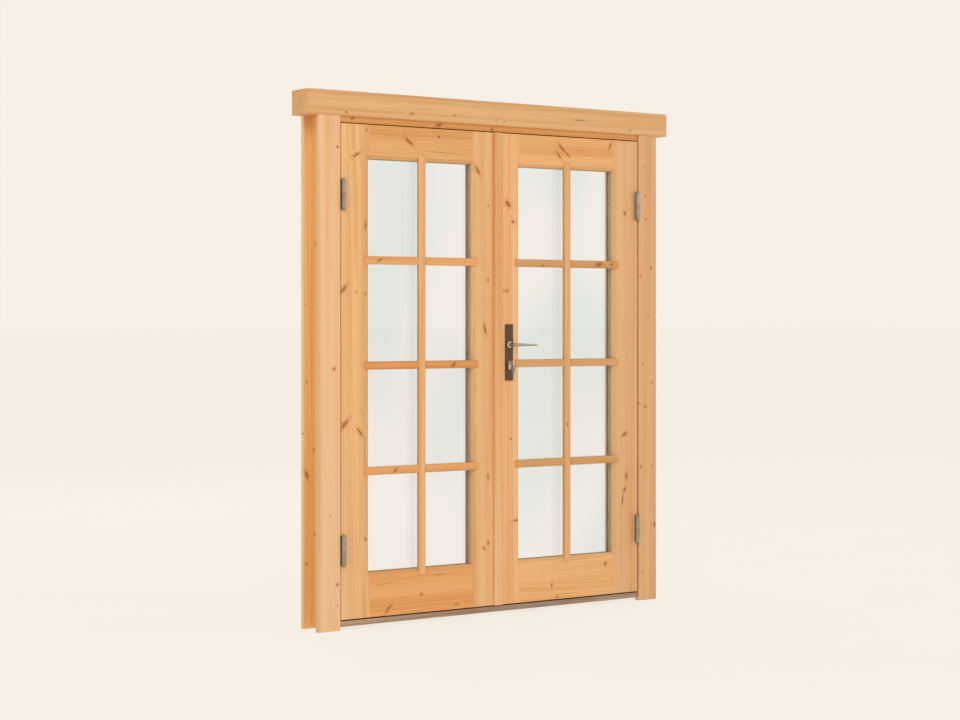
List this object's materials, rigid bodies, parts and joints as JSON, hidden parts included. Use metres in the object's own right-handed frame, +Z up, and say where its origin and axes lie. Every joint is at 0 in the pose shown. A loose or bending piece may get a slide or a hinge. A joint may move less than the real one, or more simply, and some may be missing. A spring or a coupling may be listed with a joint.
{
  "type": "french doors",
  "caption": "Pair of outward-opening glazed timber doors in a frame that slots over a plank or log wall, with glazing bars, lever lock and slide bolts.",
  "frame": {"origin": "middle of the threshold's underside, on the middle plane of the wall that the side grooves take", "axes": "+X to the right seen from outside, +Y from outside to inside, +Z up"},
  "size_m": [1.706, 0.1829, 1.996],
  "materials": {
    "stile_wood": "bare planed spruce, knots and straight grain along the stiles",
    "rail_wood": "bare planed spruce, grain across the leaf",
    "bar_wood": "bare moulded spruce",
    "casing_wood": "bare spruce boards, a little paler than the leaves",
    "beam_wood": "bare finger-jointed spruce beam",
    "jamb_wood": "bare spruce, orange in the shade",
    "sill_wood": "weathered hardwood threshold, grey-brown",
    "pane_glass": "clear float glass in sealed double panes",
    "spacer_aluminium": "dull mill finish",
    "hinge_steel": "zinc-plated, slightly dulled",
    "washer_brass": "plain",
    "lock_steel": "nickel-plated",
    "plate_bronze": "dark brown lacquer, worn lighter below the key",
    "lever_steel": "satin, warm grey",
    "key_steel": "satin nickel",
    "seal_rubber": "tan profile seal"
  },
  "bodies": {
    "frame": {"left_jamb": "jamb_wood", "right_jamb": "jamb_wood", "head_jamb": "jamb_wood", "threshold": "sill_wood", "head_beam": "beam_wood", "left_front_casing": "casing_wood", "right_front_casing": "casing_wood", "left_back_casing": "casing_wood", "right_back_casing": "casing_wood", "head_back_casing": "casing_wood", "frame_seal": "seal_rubber", "frame_hinge_halves": "hinge_steel", "hinge_pins": "hinge_steel", "hinge_washers": "washer_brass"},
    "left_leaf": {"left_hinge_stile": "stile_wood", "left_meeting_stile": "stile_wood", "left_top_rail": "rail_wood", "left_bottom_rail": "rail_wood", "left_glass": "pane_glass", "left_glass_spacer": "spacer_aluminium", "left_glazing_beads": "bar_wood", "left_upright_bar": "bar_wood", "left_cross_bars": "bar_wood", "left_leaf_hinge_halves": "hinge_steel", "strike_plate": "lock_steel", "strike_screws": "lock_steel", "top_bolt_bracket": "lock_steel", "bottom_bolt_bracket": "lock_steel"},
    "top_bolt": {"top_bolt_rod": "lock_steel"},
    "bottom_bolt": {"bottom_bolt_rod": "lock_steel"},
    "right_leaf": {"right_hinge_stile": "stile_wood", "right_meeting_stile": "stile_wood", "right_top_rail": "rail_wood", "right_bottom_rail": "rail_wood", "right_glass": "pane_glass", "right_glass_spacer": "spacer_aluminium", "right_glazing_beads": "bar_wood", "right_upright_bar": "bar_wood", "right_cross_bars": "bar_wood", "right_leaf_hinge_halves": "hinge_steel", "cover_strip": "bar_wood", "lock_case": "lock_steel", "lock_forend": "lock_steel", "forend_screws": "lock_steel", "outer_plate": "plate_bronze", "inner_plate": "plate_bronze", "plate_screws": "lock_steel", "lock_cylinder": "lock_steel"},
    "handle": {"outer_lever": "lever_steel", "inner_lever": "lever_steel", "spindle": "lock_steel", "lock_follower": "lock_steel"},
    "latch": {"latch_bolt": "lock_steel"},
    "deadbolt": {"deadbolt": "lock_steel"},
    "key": {"cylinder_plug": "lock_steel", "key": "key_steel", "key_ring": "key_steel", "spare_key": "key_steel"}
  },
  "joints": [
    {"name": "left_leaf_hinge", "type": "hinge", "parent": "frame", "child": "left_leaf", "pos_m": [-0.7, -0.073, 0.941], "axis": [0, 0, -1], "range_deg": [0, 170]},
    {"name": "right_leaf_hinge", "type": "hinge", "parent": "frame", "child": "right_leaf", "pos_m": [0.7, -0.073, 0.941], "axis": [0, 0, 1], "range_deg": [0, 170]},
    {"name": "top_bolt_slide", "type": "slide", "parent": "left_leaf", "child": "top_bolt", "axis": [0, 0, 1], "range_m": [0, 0.015]},
    {"name": "bottom_bolt_slide", "type": "slide", "parent": "left_leaf", "child": "bottom_bolt", "axis": [0, 0, -1], "range_m": [0, 0.015]},
    {"name": "handle_turn", "type": "hinge", "parent": "right_leaf", "child": "handle", "pos_m": [0.059, -0.035, 1.039], "axis": [0, 1, 0], "range_deg": [0, 40], "stiffness_Nm_per_rad": 1.5, "springref_deg": -22.92},
    {"name": "latch_slide", "type": "slide", "parent": "right_leaf", "child": "latch", "axis": [1, 0, 0], "range_m": [0, 0.012]},
    {"name": "key_turn", "type": "hinge", "parent": "right_leaf", "child": "key", "pos_m": [0.059, -0.035, 0.967], "axis": [0, 1, 0], "range_deg": [0, 360]},
    {"name": "deadbolt_slide", "type": "slide", "parent": "right_leaf", "child": "deadbolt", "axis": [-1, 0, 0], "range_m": [0, 0.0205]}
  ],
  "couplings": [
    {"joint": "latch_slide", "follows": "handle_turn", "m_per_rad": 0.015756},
    {"joint": "deadbolt_slide", "follows": "key_turn", "m_per_rad": 0.003183}
  ]
}
